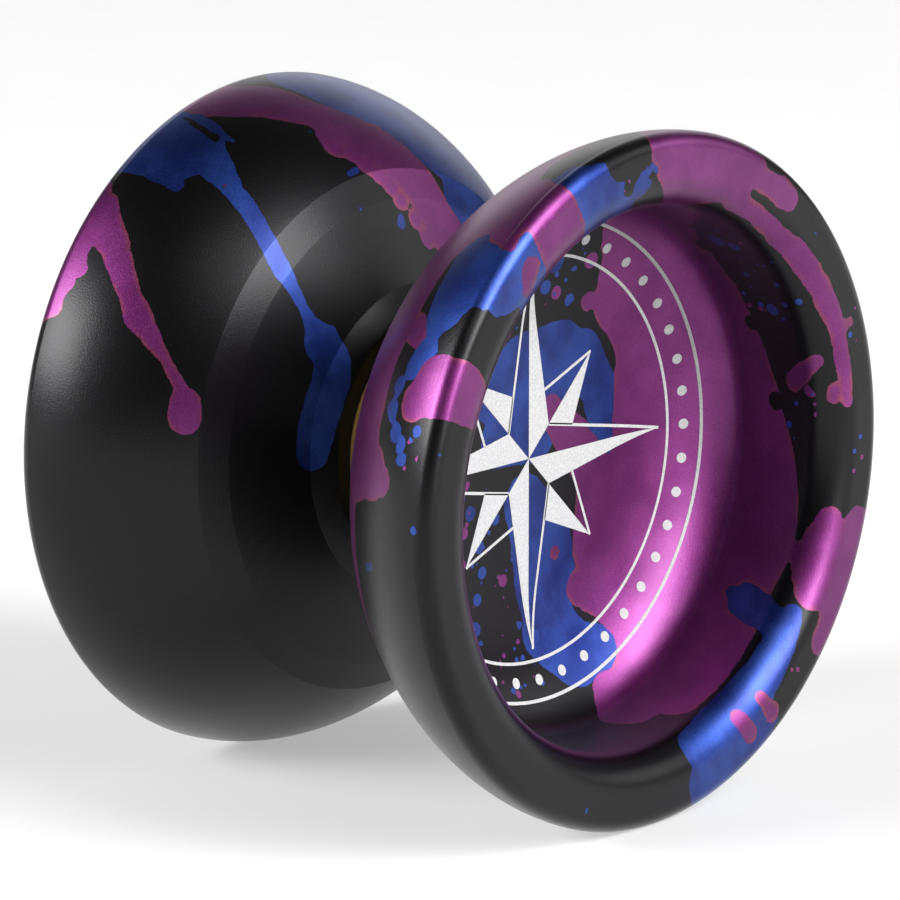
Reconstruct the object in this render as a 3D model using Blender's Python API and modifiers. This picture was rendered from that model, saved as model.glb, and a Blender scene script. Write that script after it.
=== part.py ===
"""A metal ball-bearing yo-yo.

Two turned aluminium halves are clamped on a shielded ball bearing by a set screw. The spin axis is the
world X axis, the origin is the middle of the bearing, and the yo-yo stands on its two rims. Every turned
piece is drawn as a profile of (radius, height) pairs, with its height along the piece's own Z axis, and
one empty lays that Z axis along the world X axis.
"""
from math import acos, asin, cos, pi, radians, sin, sqrt, tan

import bmesh
import bpy
from mathutils import Matrix

for old in list(bpy.data.objects):
    bpy.data.objects.remove(old, do_unlink=True)

# Rim and cup of a half
RIM_RADIUS = 0.0275
HALF_WIDTH = 0.0215
RIM_WALL = 0.0060
RIM_CORNER_RADIUS = 0.0012
LIP_RADIUS = 0.0030
FLOOR_RADIUS = 0.0105
BOWL_RISE = 0.0046
FLOOR_OFFSET = 0.0011

# String side of a half, from the response pad outwards: width across the radius and lean of each ring
STRING_GAP = 0.0047
LAND_WIDTH = 0.0013
LAND_LEAN = radians(12.0)
INNER_STEP_WIDTH = 0.00186
INNER_STEP_LEAN = radians(33.4)
WEB_WIDTH = 0.0062
WEB_LEAN = radians(25.0)
OUTER_STEP_WIDTH = 0.00224
OUTER_STEP_LEAN = radians(29.1)
FLANK_LEAN = radians(42.8)
FLANK_FULLNESS = 0.85

# Response pads
PAD_INNER_RADIUS = 0.0071
PAD_OUTER_RADIUS = 0.00945
PAD_THICKNESS = 0.0011
PAD_SINK = 0.0001
PAD_CLEARANCE = 0.0001
PAD_EDGE_BEVEL = 0.0002

# Ball bearing: a ball's diameter is a share of the section from bore to outside, and the depth of its
# tracks is a share of its radius
BEARING_BORE_RADIUS = 0.003175
BEARING_OUTER_RADIUS = 0.00635
BEARING_WIDTH = 0.0047625
BALL_COUNT = 10
BALL_SHARE = 0.625
TRACK_SHARE = 0.32
BALL_CLEARANCE = 0.00004
STRING_GROOVE_DEPTH = 0.00025
STRING_GROOVE_EDGE = 0.0003
CAGE_CLEARANCE = 0.00015
CAGE_SIDE_BAR = 0.00035
POCKET_CLEARANCE = 0.00006
SHIELD_THICKNESS = 0.0002
SHIELD_SEAT_DEPTH = 0.0003
SHIELD_CLEARANCE = 0.00005
SHIELD_RUN_GAP = 0.0001
SNAP_WIRE_RADIUS = 0.0001
SNAP_GROOVE_DEPTH = 0.0001
SNAP_CLEARANCE = 0.00003
SNAP_OPENING = radians(24.0)
RING_FACE_MARGIN = 0.00015

# Bearing seat and axle
POST_CLEARANCE = 0.00005
POST_END_GAP = 0.00015
SEAT_CLEARANCE = 0.00005
SHOULDER_MARGIN = 0.0001
RELIEF_DEPTH = 0.0004
AXLE_RADIUS = 0.0020
AXLE_CHAMFER = 0.0004
AXLE_END_GAP = 0.0014
THREAD_CLEARANCE = 0.0001
HUB_WALL = 0.0012
DRILL_POINT_ANGLE = radians(118.0)
HEX_ACROSS_FLATS = 0.0020
HEX_DEPTH = 0.0020

# Facets
HALF_SEGMENTS = 56
BEARING_SEGMENTS = 40
AXLE_SEGMENTS = 24
POCKET_SEGMENTS = 16
BALL_SEGMENTS = 10
BALL_RINGS = 8
SNAP_POINTS = 33
FLANK_POINTS = 9
ARC_POINTS = 5
LIP_POINTS = 7
BOWL_POINTS = 9
GROOVE_POINTS = 7
WELD_DISTANCE = 0.000001


# Sizes that follow from the ones above
cup_radius = RIM_RADIUS - RIM_WALL
pad_recess_outer = PAD_OUTER_RADIUS + PAD_CLEARANCE
pad_recess_inner = PAD_INNER_RADIUS - PAD_CLEARANCE
land_edge = (pad_recess_outer, STRING_GAP / 2)
pad_front = land_edge[1] + PAD_SINK
pad_recess_floor = pad_front + PAD_THICKNESS + PAD_CLEARANCE

pitch_radius = (BEARING_BORE_RADIUS + BEARING_OUTER_RADIUS) / 2
ball_radius = BALL_SHARE * (BEARING_OUTER_RADIUS - BEARING_BORE_RADIUS) / 2
race_section = ball_radius + BALL_CLEARANCE
race_depth = TRACK_SHARE * ball_radius
inner_land_radius = pitch_radius - race_section + race_depth
outer_land_radius = pitch_radius + race_section - race_depth
ring_face = BEARING_WIDTH / 2
shield_seat_radius = outer_land_radius + SHIELD_SEAT_DEPTH
snap_groove_radius = shield_seat_radius + SNAP_GROOVE_DEPTH
snap_groove_top = ring_face - RING_FACE_MARGIN
snap_groove_bottom = snap_groove_top - 2 * (SNAP_WIRE_RADIUS + SNAP_CLEARANCE)
shield_top = snap_groove_bottom - SHIELD_CLEARANCE
shield_bottom = shield_top - SHIELD_THICKNESS
shield_seat = shield_bottom - SHIELD_CLEARANCE
pocket_radius = ball_radius + POCKET_CLEARANCE
cage_half_width = pocket_radius + CAGE_SIDE_BAR

post_radius = BEARING_BORE_RADIUS - POST_CLEARANCE
shoulder = ring_face + SEAT_CLEARANCE
shoulder_radius = inner_land_radius - SHOULDER_MARGIN
relief = shoulder + RELIEF_DEPTH
thread_radius = AXLE_RADIUS + THREAD_CLEARANCE
drill_point_height = thread_radius / tan(DRILL_POINT_ANGLE / 2)


def outward(start, width, lean):
    """The far end of a ring that starts at a profile point and leans away from the gap."""
    return (start[0] + width, start[1] + width * tan(lean))


land_top = outward(land_edge, LAND_WIDTH, LAND_LEAN)
inner_step_top = outward(land_top, INNER_STEP_WIDTH, INNER_STEP_LEAN)
web_top = outward(inner_step_top, WEB_WIDTH, WEB_LEAN)
outer_step_top = outward(web_top, OUTER_STEP_WIDTH, OUTER_STEP_LEAN)
cup_floor = web_top[1] + FLOOR_OFFSET
drill_tip = cup_floor - HUB_WALL
thread_end = drill_tip - drill_point_height
axle_half_length = thread_end - AXLE_END_GAP


def arc(centre, radius, start, end, count=ARC_POINTS):
    """Profile points on a circle, from one angle to another, both ends included."""
    angles = [start + (end - start) * i / (count - 1) for i in range(count)]
    return [(centre[0] + radius * cos(a), centre[1] + radius * sin(a)) for a in angles]


def conic(start, corner, end, fullness, count):
    """Profile points on a conic that leaves start towards corner and arrives at end from corner."""
    points = []
    for i in range(count):
        t = i / (count - 1)
        weights = ((1 - t) ** 2, 2 * fullness * t * (1 - t), t ** 2)
        total = sum(weights)
        points.append(tuple(
            sum(w * p[axis] for w, p in zip(weights, (start, corner, end))) / total for axis in (0, 1)
        ))
    return points


def bowl():
    """Profile points on a quarter ellipse, from the edge of the flat cup floor to the foot of the cup wall."""
    angles = [pi / 2 * i / (BOWL_POINTS - 1) for i in range(BOWL_POINTS)]
    width = cup_radius - FLOOR_RADIUS
    return [(FLOOR_RADIUS + width * sin(a), cup_floor + BOWL_RISE * (1 - cos(a))) for a in angles]


def half_profile():
    """A half from the middle of its cup floor, over the rim and down the string side to the axle hole."""
    lip_centre = (cup_radius + LIP_RADIUS, HALF_WIDTH - LIP_RADIUS)
    corner_centre = (RIM_RADIUS - RIM_CORNER_RADIUS, HALF_WIDTH - RIM_CORNER_RADIUS)
    widest = (RIM_RADIUS, HALF_WIDTH - RIM_CORNER_RADIUS)
    flank_corner = (RIM_RADIUS, outer_step_top[1] + (RIM_RADIUS - outer_step_top[0]) * tan(FLANK_LEAN))
    points = [(0.0, cup_floor)]
    points += bowl()
    points += arc(lip_centre, LIP_RADIUS, pi, pi / 2, LIP_POINTS)
    points += arc(corner_centre, RIM_CORNER_RADIUS, pi / 2, 0.0)
    points += conic(widest, flank_corner, outer_step_top, FLANK_FULLNESS, FLANK_POINTS)[1:]
    points += [web_top, inner_step_top, land_top, land_edge]
    points += [(pad_recess_outer, pad_recess_floor), (pad_recess_inner, pad_recess_floor)]
    points += [(pad_recess_inner, relief), (shoulder_radius, relief)]
    points += [(shoulder_radius, shoulder), (post_radius, shoulder)]
    points += [(post_radius, POST_END_GAP), (thread_radius, POST_END_GAP)]
    points += [(thread_radius, thread_end), (0.0, drill_tip)]
    return points


def pad_profile():
    """A flat ring with bevelled edges on the side that grips the string."""
    back = pad_front + PAD_THICKNESS
    return [
        (PAD_INNER_RADIUS, back),
        (PAD_OUTER_RADIUS, back),
        (PAD_OUTER_RADIUS, pad_front + PAD_EDGE_BEVEL),
        (PAD_OUTER_RADIUS - PAD_EDGE_BEVEL, pad_front),
        (PAD_INNER_RADIUS + PAD_EDGE_BEVEL, pad_front),
        (PAD_INNER_RADIUS, pad_front + PAD_EDGE_BEVEL),
    ]


def axle_profile():
    """A headless screw with chamfered ends."""
    end = axle_half_length
    return [
        (0.0, end),
        (AXLE_RADIUS - AXLE_CHAMFER, end),
        (AXLE_RADIUS, end - AXLE_CHAMFER),
        (AXLE_RADIUS, AXLE_CHAMFER - end),
        (AXLE_RADIUS - AXLE_CHAMFER, -end),
        (0.0, -end),
    ]


def race_points(middle):
    """The ball track of a ring, round its middle: angle 0 is the outer ring's, and pi the inner ring's."""
    half_angle = acos(1.0 - race_depth / race_section)
    return arc((pitch_radius, 0.0), race_section, middle - half_angle, middle + half_angle)


def string_groove():
    """The shallow round groove that centres the string on the outer ring, from top to bottom."""
    half_chord = ring_face - STRING_GROOVE_EDGE
    radius = (half_chord ** 2 + STRING_GROOVE_DEPTH ** 2) / (2 * STRING_GROOVE_DEPTH)
    half_angle = asin(half_chord / radius)
    centre = (BEARING_OUTER_RADIUS - STRING_GROOVE_DEPTH + radius, 0.0)
    return arc(centre, radius, pi - half_angle, pi + half_angle, GROOVE_POINTS)


def outer_ring_profile():
    """The outer ring: string groove outside, ball track inside, and a shield seat at each end."""
    top_seat = [
        (outer_land_radius, shield_seat),
        (shield_seat_radius, shield_seat),
        (shield_seat_radius, snap_groove_bottom),
        (snap_groove_radius, snap_groove_bottom),
        (snap_groove_radius, snap_groove_top),
        (shield_seat_radius, snap_groove_top),
        (shield_seat_radius, ring_face),
    ]
    bottom_seat = [(radius, -height) for radius, height in reversed(top_seat)]
    points = [(BEARING_OUTER_RADIUS, ring_face)] + string_groove() + [(BEARING_OUTER_RADIUS, -ring_face)]
    return points + bottom_seat + race_points(0.0) + top_seat


def inner_ring_profile():
    """The inner ring: a plain bore and a ball track outside."""
    points = [(BEARING_BORE_RADIUS, ring_face), (inner_land_radius, ring_face)]
    points += race_points(pi)
    return points + [(inner_land_radius, -ring_face), (BEARING_BORE_RADIUS, -ring_face)]


def ring_profile(inner, outer, bottom, top):
    """A plain ring of rectangular section."""
    return [(inner, top), (outer, top), (outer, bottom), (inner, bottom)]


def finish(name, colour, roughness, metallic=1.0):
    """A plain surface of one colour."""
    material = bpy.data.materials.new(name)
    material.use_nodes = True
    surface = material.node_tree.nodes["Principled BSDF"]
    surface.inputs["Base Color"].default_value = (*colour, 1.0)
    surface.inputs["Roughness"].default_value = roughness
    surface.inputs["Metallic"].default_value = metallic
    return material


def collection(name):
    """A new collection in the scene."""
    made = bpy.data.collections.new(name)
    bpy.context.scene.collection.children.link(made)
    return made


def empty(name, parent=None):
    """An empty on the spin axis, which carries the pieces that turn together."""
    made = bpy.data.objects.new(name, None)
    made.parent = parent
    parts.objects.link(made)
    return made


def place(name, data, material, parent):
    """A named piece in the part's collection, carried by an empty."""
    made = bpy.data.objects.new(name, data)
    made.parent = parent
    data.materials.append(material)
    parts.objects.link(made)
    return made


def turned_mesh(name, profile):
    """A profile as a chain of edges, closed into a loop unless both its ends lie on the axis."""
    mesh = bpy.data.meshes.new(name)
    points = [(radius, 0.0, height) for radius, height in profile]
    edges = [(i, i + 1) for i in range(len(points) - 1)]
    if profile[0][0] > 0.0:
        edges.append((len(points) - 1, 0))
    mesh.from_pydata(points, edges, [])
    return mesh


def turned(name, profile, material, parent, segments):
    """A piece made by turning a profile about its own Z axis."""
    made = place(name, turned_mesh(name, profile), material, parent)
    screw = made.modifiers.new("turn", "SCREW")
    screw.axis = "Z"
    screw.angle = 2 * pi
    screw.steps = segments
    screw.render_steps = segments
    screw.use_merge_vertices = True
    screw.merge_threshold = WELD_DISTANCE
    screw.use_smooth_shade = True
    return made


def shade(made):
    """Gives smooth faces clean highlights beside the edges between them."""
    made.modifiers.new("shading", "WEIGHTED_NORMAL")


def cut(made, cutter):
    """Takes a cutter's shape out of a piece."""
    cutter.hide_render = True
    cutter.display_type = "WIRE"
    cutters.objects.link(cutter)
    modifier = made.modifiers.new("cut_" + cutter.name, "BOOLEAN")
    modifier.operation = "DIFFERENCE"
    modifier.solver = "EXACT"
    modifier.object = cutter


def make_half(name, flipped):
    """A half, standing with a flat facet of its rim at the bottom."""
    made = turned(name, half_profile(), anodised, spin_axis, HALF_SEGMENTS)
    made.rotation_euler = (pi if flipped else 0.0, 0.0, pi / HALF_SEGMENTS)
    shade(made)


def make_pad(name, flipped):
    """A response pad in the recess of its half."""
    made = turned(name, pad_profile(), silicone, spin_axis, HALF_SEGMENTS)
    made.rotation_euler = (pi if flipped else 0.0, 0.0, pi / HALF_SEGMENTS)
    shade(made)


def make_axle():
    """The set screw, with a hex socket in its right end."""
    made = turned("axle", axle_profile(), black_steel, spin_axis, AXLE_SEGMENTS)
    socket = bpy.data.meshes.new("hex_socket")
    mesh = bmesh.new()
    corner_radius = HEX_ACROSS_FLATS / sqrt(3)
    bmesh.ops.create_cone(
        mesh, cap_ends=True, segments=6, radius1=corner_radius, radius2=corner_radius, depth=2 * HEX_DEPTH,
        matrix=Matrix.Translation((0.0, 0.0, axle_half_length)),
    )
    mesh.to_mesh(socket)
    mesh.free()
    cutter = bpy.data.objects.new("hex_socket", socket)
    cutter.parent = spin_axis
    cut(made, cutter)
    shade(made)


def make_cage():
    """A ring between the bearing's rings, with a round pocket for each ball."""
    inner = inner_land_radius + CAGE_CLEARANCE
    outer = outer_land_radius - CAGE_CLEARANCE
    profile = ring_profile(inner, outer, -cage_half_width, cage_half_width)
    made = turned("bearing_cage", profile, satin_steel, cage_axis, BEARING_SEGMENTS)
    pockets = bpy.data.meshes.new("ball_pockets")
    mesh = bmesh.new()
    for i in range(BALL_COUNT):
        at = Matrix.Rotation(ball_angle(i), 4, "Z") @ Matrix.Translation((pitch_radius, 0.0, 0.0))
        bmesh.ops.create_cone(
            mesh, cap_ends=True, segments=POCKET_SEGMENTS, radius1=pocket_radius, radius2=pocket_radius,
            depth=2 * (outer - inner), matrix=at @ Matrix.Rotation(pi / 2, 4, "Y"),
        )
    mesh.to_mesh(pockets)
    mesh.free()
    cutter = bpy.data.objects.new("ball_pockets", pockets)
    cutter.parent = cage_axis
    cut(made, cutter)
    shade(made)


def ball_angle(index):
    """Where a ball sits round the spin axis, with the first one at the bottom."""
    return 2 * pi * index / BALL_COUNT


def make_balls():
    """The balls, each with its origin at its own centre."""
    shape = bpy.data.meshes.new("bearing_ball")
    mesh = bmesh.new()
    bmesh.ops.create_uvsphere(mesh, u_segments=BALL_SEGMENTS, v_segments=BALL_RINGS, radius=ball_radius)
    mesh.to_mesh(shape)
    mesh.free()
    shape.shade_smooth()
    shape.materials.append(polished_steel)
    for i in range(BALL_COUNT):
        made = bpy.data.objects.new(f"bearing_ball_{i + 1:02d}", shape)
        made.parent = cage_axis
        made.location = (pitch_radius * cos(ball_angle(i)), pitch_radius * sin(ball_angle(i)), 0.0)
        parts.objects.link(made)


def make_shield(name, flipped):
    """A thin disc that closes one end of the bearing."""
    inner = inner_land_radius + SHIELD_RUN_GAP
    outer = shield_seat_radius - SHIELD_CLEARANCE
    profile = ring_profile(inner, outer, shield_bottom, shield_top)
    made = turned(name, profile, steel, bearing_axis, BEARING_SEGMENTS)
    made.rotation_euler = (pi if flipped else 0.0, 0.0, 0.0)
    shade(made)


def make_snap_ring(name, flipped):
    """An open wire ring that holds a shield in its seat."""
    radius = snap_groove_radius - SNAP_CLEARANCE - SNAP_WIRE_RADIUS
    height = (snap_groove_bottom + snap_groove_top) / 2
    wire = bpy.data.curves.new(name, "CURVE")
    wire.dimensions = "3D"
    wire.bevel_depth = SNAP_WIRE_RADIUS
    wire.bevel_resolution = 1
    wire.use_fill_caps = True
    path = wire.splines.new("POLY")
    path.points.add(SNAP_POINTS - 1)
    for i, point in enumerate(path.points):
        angle = SNAP_OPENING / 2 + (2 * pi - SNAP_OPENING) * i / (SNAP_POINTS - 1)
        point.co = (radius * cos(angle), radius * sin(angle), height, 1.0)
    made = place(name, wire, steel, bearing_axis)
    made.rotation_euler = (pi if flipped else 0.0, 0.0, 0.0)


parts = collection("yo_yo")
cutters = collection("cutters")

anodised = finish("anodised_aluminium", (0.02, 0.02, 0.024), 0.38)
silicone = finish("silicone", (0.62, 0.42, 0.12), 0.6, metallic=0.0)
black_steel = finish("black_steel", (0.08, 0.08, 0.085), 0.4)
steel = finish("steel", (0.45, 0.45, 0.46), 0.3)
polished_steel = finish("polished_steel", (0.7, 0.7, 0.72), 0.08)
satin_steel = finish("satin_steel", (0.5, 0.5, 0.5), 0.4)

spin_axis = empty("spin_axis")
spin_axis.rotation_euler = (0.0, pi / 2, 0.0)
bearing_axis = empty("bearing_axis", spin_axis)
cage_axis = empty("cage_axis", spin_axis)

make_half("half_left", flipped=True)
make_half("half_right", flipped=False)
make_pad("response_pad_left", flipped=True)
make_pad("response_pad_right", flipped=False)
make_axle()
shade(turned("bearing_inner_ring", inner_ring_profile(), steel, spin_axis, BEARING_SEGMENTS))
shade(turned("bearing_outer_ring", outer_ring_profile(), steel, bearing_axis, BEARING_SEGMENTS))
make_cage()
make_balls()
make_shield("bearing_shield_left", flipped=True)
make_shield("bearing_shield_right", flipped=False)
make_snap_ring("bearing_snap_ring_left", flipped=True)
make_snap_ring("bearing_snap_ring_right", flipped=False)
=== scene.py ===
# %% [markdown]
# # A splash-anodised yo-yo
#
# The real yo-yo is two turned aluminium halves on a ball bearing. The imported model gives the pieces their
# sizes and the bodies they turn with. This notebook dresses them: fine turned surfaces, the splashes of dye
# in the anodised skin, soft pads, a ground steel bearing and a small studio.

import bpy
import numpy as np
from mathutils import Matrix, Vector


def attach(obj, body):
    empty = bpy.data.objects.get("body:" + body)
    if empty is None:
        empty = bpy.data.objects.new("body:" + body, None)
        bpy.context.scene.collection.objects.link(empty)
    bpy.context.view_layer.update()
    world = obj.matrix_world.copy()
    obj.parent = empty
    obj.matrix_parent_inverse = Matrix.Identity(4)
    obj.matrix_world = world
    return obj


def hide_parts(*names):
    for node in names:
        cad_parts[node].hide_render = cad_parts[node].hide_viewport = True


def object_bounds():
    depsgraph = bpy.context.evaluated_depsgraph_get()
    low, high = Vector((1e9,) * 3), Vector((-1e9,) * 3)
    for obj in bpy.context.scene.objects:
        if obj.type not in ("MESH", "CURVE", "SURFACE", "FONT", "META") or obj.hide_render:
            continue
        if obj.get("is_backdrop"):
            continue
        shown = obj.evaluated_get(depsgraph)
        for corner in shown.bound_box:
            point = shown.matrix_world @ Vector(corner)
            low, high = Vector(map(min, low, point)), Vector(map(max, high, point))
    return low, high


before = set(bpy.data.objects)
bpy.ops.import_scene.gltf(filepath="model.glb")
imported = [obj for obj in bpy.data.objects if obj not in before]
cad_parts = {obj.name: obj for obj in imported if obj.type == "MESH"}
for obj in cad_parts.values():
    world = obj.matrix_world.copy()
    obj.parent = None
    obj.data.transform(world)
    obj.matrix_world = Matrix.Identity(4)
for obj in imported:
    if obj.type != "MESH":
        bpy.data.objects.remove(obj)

MM = 0.001
cad_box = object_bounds()
cad_size = np.array(cad_box[1]) - np.array(cad_box[0])
print("packed model:", len(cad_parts), "nodes,", np.round(cad_size / MM, 2), "mm")

# %% [markdown]
# ## Camera
#
# A long lens from the right and a little above, about half a metre away, so that both the string side of one
# half and the cup of the other show. Its angles, distance and lens were fitted to the rims and rings in the
# photograph. Three unit vectors say which way the camera's right, up and back point, and they are also the
# easiest way to hang the studio lamps later on.

# %% Camera at the photograph's angle
CAMERA_AZIMUTH = np.radians(41.42)
CAMERA_ELEVATION = np.radians(12.97)
CAMERA_DISTANCE = 511.97 * MM
CAMERA_SHIFT_RIGHT = -0.306 * MM
CAMERA_SHIFT_UP = -0.470 * MM
LENS = 257.39

sin_a, cos_a = np.sin(CAMERA_AZIMUTH), np.cos(CAMERA_AZIMUTH)
sin_e, cos_e = np.sin(CAMERA_ELEVATION), np.cos(CAMERA_ELEVATION)
RIGHT = np.array([cos_a, sin_a, 0.0])
UP = np.array([-sin_a * sin_e, cos_a * sin_e, cos_e])
BACK = np.array([sin_a * cos_e, -cos_a * cos_e, sin_e])


def aim(thing, place, right, up, back):
    """Puts a camera or lamp at a place, with its own X, Y and Z axes along three unit vectors."""
    matrix = np.eye(4)
    matrix[:3, 0] = right
    matrix[:3, 1] = up
    matrix[:3, 2] = back
    matrix[:3, 3] = place
    thing.matrix_world = matrix.T


camera = bpy.data.objects.new("camera", bpy.data.cameras.new("camera"))
bpy.context.scene.collection.objects.link(camera)
camera.data.sensor_width = 36.0
camera.data.lens = LENS
camera.data.clip_start = 0.01
camera_place = CAMERA_SHIFT_RIGHT * RIGHT + CAMERA_SHIFT_UP * UP + CAMERA_DISTANCE * BACK
aim(camera, camera_place, RIGHT, UP, BACK)
bpy.context.scene.camera = camera
print("camera at", np.round(camera_place / MM, 1), "mm")

# %% [markdown]
# ## Turned surfaces
#
# Nearly every piece of a yo-yo comes off a lathe, so one surface of revolution serves them all. A drawing is
# a list of corners, each with the radius of its edge. The corners become a smooth run of points, and the run
# is carried round the spin axis, which is the X axis here. A whole grid is worked out at once, and a row that
# has shrunk to the axis becomes a single point, so that no face is folded up.

# %% Profile with rounded corners
ARC_STEP = 0.25 * MM
ARC_LEAST = 3
SLIGHT = 1e-6


def divided(points, parts):
    """A chain of points with each stretch cut into n equal parts: start + k / n of the way to the next."""
    ways = np.diff(points, axis=0)
    fine = [start + np.outer(np.arange(n) / n, way) for start, way, n in zip(points, ways, parts)]
    return np.concatenate(fine + [points[-1:]])


def rounded(corners, step):
    """Points along a chain of corners (radius, along, edge radius).

    Each corner with an edge radius is replaced by the arc that touches both its sides. The straight stretch
    that leads to a corner is divided into equal parts no longer than that corner's step.
    """
    corners = np.array(corners, float)
    place = corners[:, :2]
    steps = np.broadcast_to(step, len(place))
    run = [place[:1]]
    for i in range(1, len(place) - 1):
        before = place[i] - place[i - 1]
        after = place[i + 1] - place[i]
        before /= np.linalg.norm(before)
        after /= np.linalg.norm(after)
        turn = np.arccos(np.clip(before @ after, -1.0, 1.0))
        edge = corners[i, 2]
        if edge == 0.0 or turn < SLIGHT:
            run.append(place[i:i + 1])
            continue
        reach = edge * np.tan(turn / 2)
        start, end = place[i] - reach * before, place[i] + reach * after
        bisector = (after - before) / np.linalg.norm(after - before)
        centre = place[i] + bisector * edge / np.cos(turn / 2)
        count = max(ARC_LEAST, int(np.ceil(turn * edge / ARC_STEP)))
        share = np.linspace(0.0, 1.0, count + 1)[:, None]
        spokes = np.sin((1 - share) * turn) * (start - centre) + np.sin(share * turn) * (end - centre)
        run.append(centre + spokes / np.sin(turn))
    run.append(place[-1:])
    points = np.concatenate(run)
    limits = np.repeat(steps, [len(stretch) for stretch in run])
    gaps = np.linalg.norm(np.diff(points, axis=0), axis=1)
    parts = np.maximum(1, np.ceil(gaps / limits[1:] - SLIGHT)).astype(int)
    return divided(points, parts)


def loop(corners, step):
    """A closed chain of corners: it starts and ends half way between the last corner and the first one."""
    first, last = np.array(corners[0], float), np.array(corners[-1], float)
    middle = (first + last) / 2 * (1.0, 1.0, 0.0)
    return rounded([middle, *corners, middle], step)[:-1]


# %% Carry a profile round the spin axis
SAME_PLACE = 1e-9
SHARP_ANGLE = np.radians(40.0)


def grid(points, closed_rows=False, flip=False):
    """Vertices and faces on a grid of points (rows, columns, 3) whose columns close on themselves.

    A row whose points all lie in one place becomes one vertex. With closed_rows the last row joins the
    first one too. Also returns, for each vertex, its row and column.
    """
    rows, columns = points.shape[:2]
    pole = np.ptp(points, axis=1).max(axis=1) < SAME_PLACE
    counts = np.where(pole, 1, columns)
    first = np.concatenate([[0], np.cumsum(counts)[:-1]])
    index = first[:, None] + np.where(pole[:, None], 0, np.arange(columns)[None, :])
    row_of = np.repeat(np.arange(rows), counts)
    column_of = np.arange(counts.sum()) - first[row_of]
    lower = index if closed_rows else index[:-1]
    upper = np.roll(index, -1, axis=0) if closed_rows else index[1:]
    quads = np.stack([lower, np.roll(lower, -1, 1), np.roll(upper, -1, 1), upper], axis=-1).reshape(-1, 4)
    if flip:
        quads = quads[:, ::-1]
    whole = (quads[:, 0] != quads[:, 1]) & (quads[:, 1] != quads[:, 2])
    whole &= (quads[:, 2] != quads[:, 3]) & (quads[:, 3] != quads[:, 0])
    folded = quads[~whole]
    keep = folded != np.roll(folded, 1, axis=1)
    triangles = folded[keep].reshape(-1, 3)
    faces = quads[whole].tolist() + triangles.tolist()
    return points[row_of, column_of], faces, row_of, column_of


def piece(name, *grids):
    """One mesh object from one grid or more, smooth except at sharp corners."""
    starts = np.cumsum([0] + [len(g[0]) for g in grids])
    faces = [[v + int(start) for v in face] for start, g in zip(starts, grids) for face in g[1]]
    mesh = bpy.data.meshes.new(name)
    mesh.from_pydata(np.concatenate([g[0] for g in grids]), [], faces)
    mesh.shade_smooth()
    mesh.set_sharp_from_angle(angle=SHARP_ANGLE)
    made = bpy.data.objects.new(name, mesh)
    bpy.context.scene.collection.objects.link(made)
    return made


def turned_points(profile, segments, sign):
    """Grid on a surface of revolution: x = sign * along, y = radius * cos(angle), z = radius * sin(angle)."""
    angle = 2 * np.pi * np.arange(segments) / segments
    radius, along = profile[:, :1], profile[:, 1:]
    spread = np.broadcast_to(sign * along, (len(profile), segments))
    return np.stack([spread, radius * np.cos(angle), radius * np.sin(angle)], axis=-1)


def turned(profile, segments, sign=1, closed_rows=False):
    """Grid of a piece turned about X. Seen with X to the right, its profile runs round it clockwise."""
    return grid(turned_points(profile, segments, sign), closed_rows, flip=sign < 0)


# %% [markdown]
# ## The halves
#
# A half is one turned piece of aluminium. From the middle outwards its string side has a narrow land beside
# the pad, a small step, a wide web, a second step and a flank that curls up to the rim. Over the rim comes
# the cup: a round lip, a straight wall, and a bowl that curves down to a flat floor. The corners are those
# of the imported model, with a fine broken edge where a lathe tool would leave one.

# %% Sizes of a half
RIM_RADIUS = 27.5 * MM
HALF_WIDTH = 21.5 * MM
RIM_WALL = 6.0 * MM
RIM_CORNER = 1.2 * MM
LIP = 3.0 * MM
FLOOR_OFFSET = 1.1 * MM
FLOOR_FLAT = 10.5 * MM
BOWL_RISE = 4.6 * MM
STRING_GAP = 4.7 * MM
RECESS_OUTER = 9.55 * MM
RECESS_INNER = 7.0 * MM
RECESS_FLOOR = 3.65 * MM
RINGS = ((1.3 * MM, 12.0), (1.86 * MM, 33.4), (6.2 * MM, 25.0), (2.24 * MM, 29.1))
FLANK_LEAN = np.radians(42.8)
FLANK_FULLNESS = 0.85
SHOULDER_RADIUS = 3.9 * MM
SHOULDER = 2.43 * MM
RELIEF = 2.83 * MM
POST_RADIUS = 3.125 * MM
POST_END = 0.15 * MM
THREAD_HOLE = 2.1 * MM
HUB_WALL = 1.2 * MM
DRILL_POINT = 1.26 * MM
BROKEN_EDGE = 0.12 * MM
HIDDEN_STEP = 1.5 * MM
SKIN_STEP = 0.3 * MM
FLOOR_STEP = 0.5 * MM
FLANK_POINTS = 56
BOWL_POINTS = 56
HALF_SEGMENTS = 340
SIDES = {"right": 1, "left": -1}


def flank(start, end, count):
    """Conic from start to end: it leaves at FLANK_LEAN and arrives square to the rim's face."""
    corner = (end[0], start[1] + (end[0] - start[0]) * np.tan(FLANK_LEAN))
    share = np.linspace(0.0, 1.0, count)[1:, None]
    weights = ((1 - share) ** 2, 2 * FLANK_FULLNESS * share * (1 - share), share ** 2)
    weighted = sum(w * np.array(p) for w, p in zip(weights, (start, corner, end)))
    return weighted / sum(weights)


def bowl(radius):
    """Rise of the cup above its floor: none on the flat, then a quarter ellipse, B (1 - sqrt(1 - u^2))."""
    share = np.clip((radius - FLOOR_FLAT) / (RIM_RADIUS - RIM_WALL - FLOOR_FLAT), 0.0, 1.0)
    return BOWL_RISE * (1 - np.sqrt(1 - share ** 2))


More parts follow.
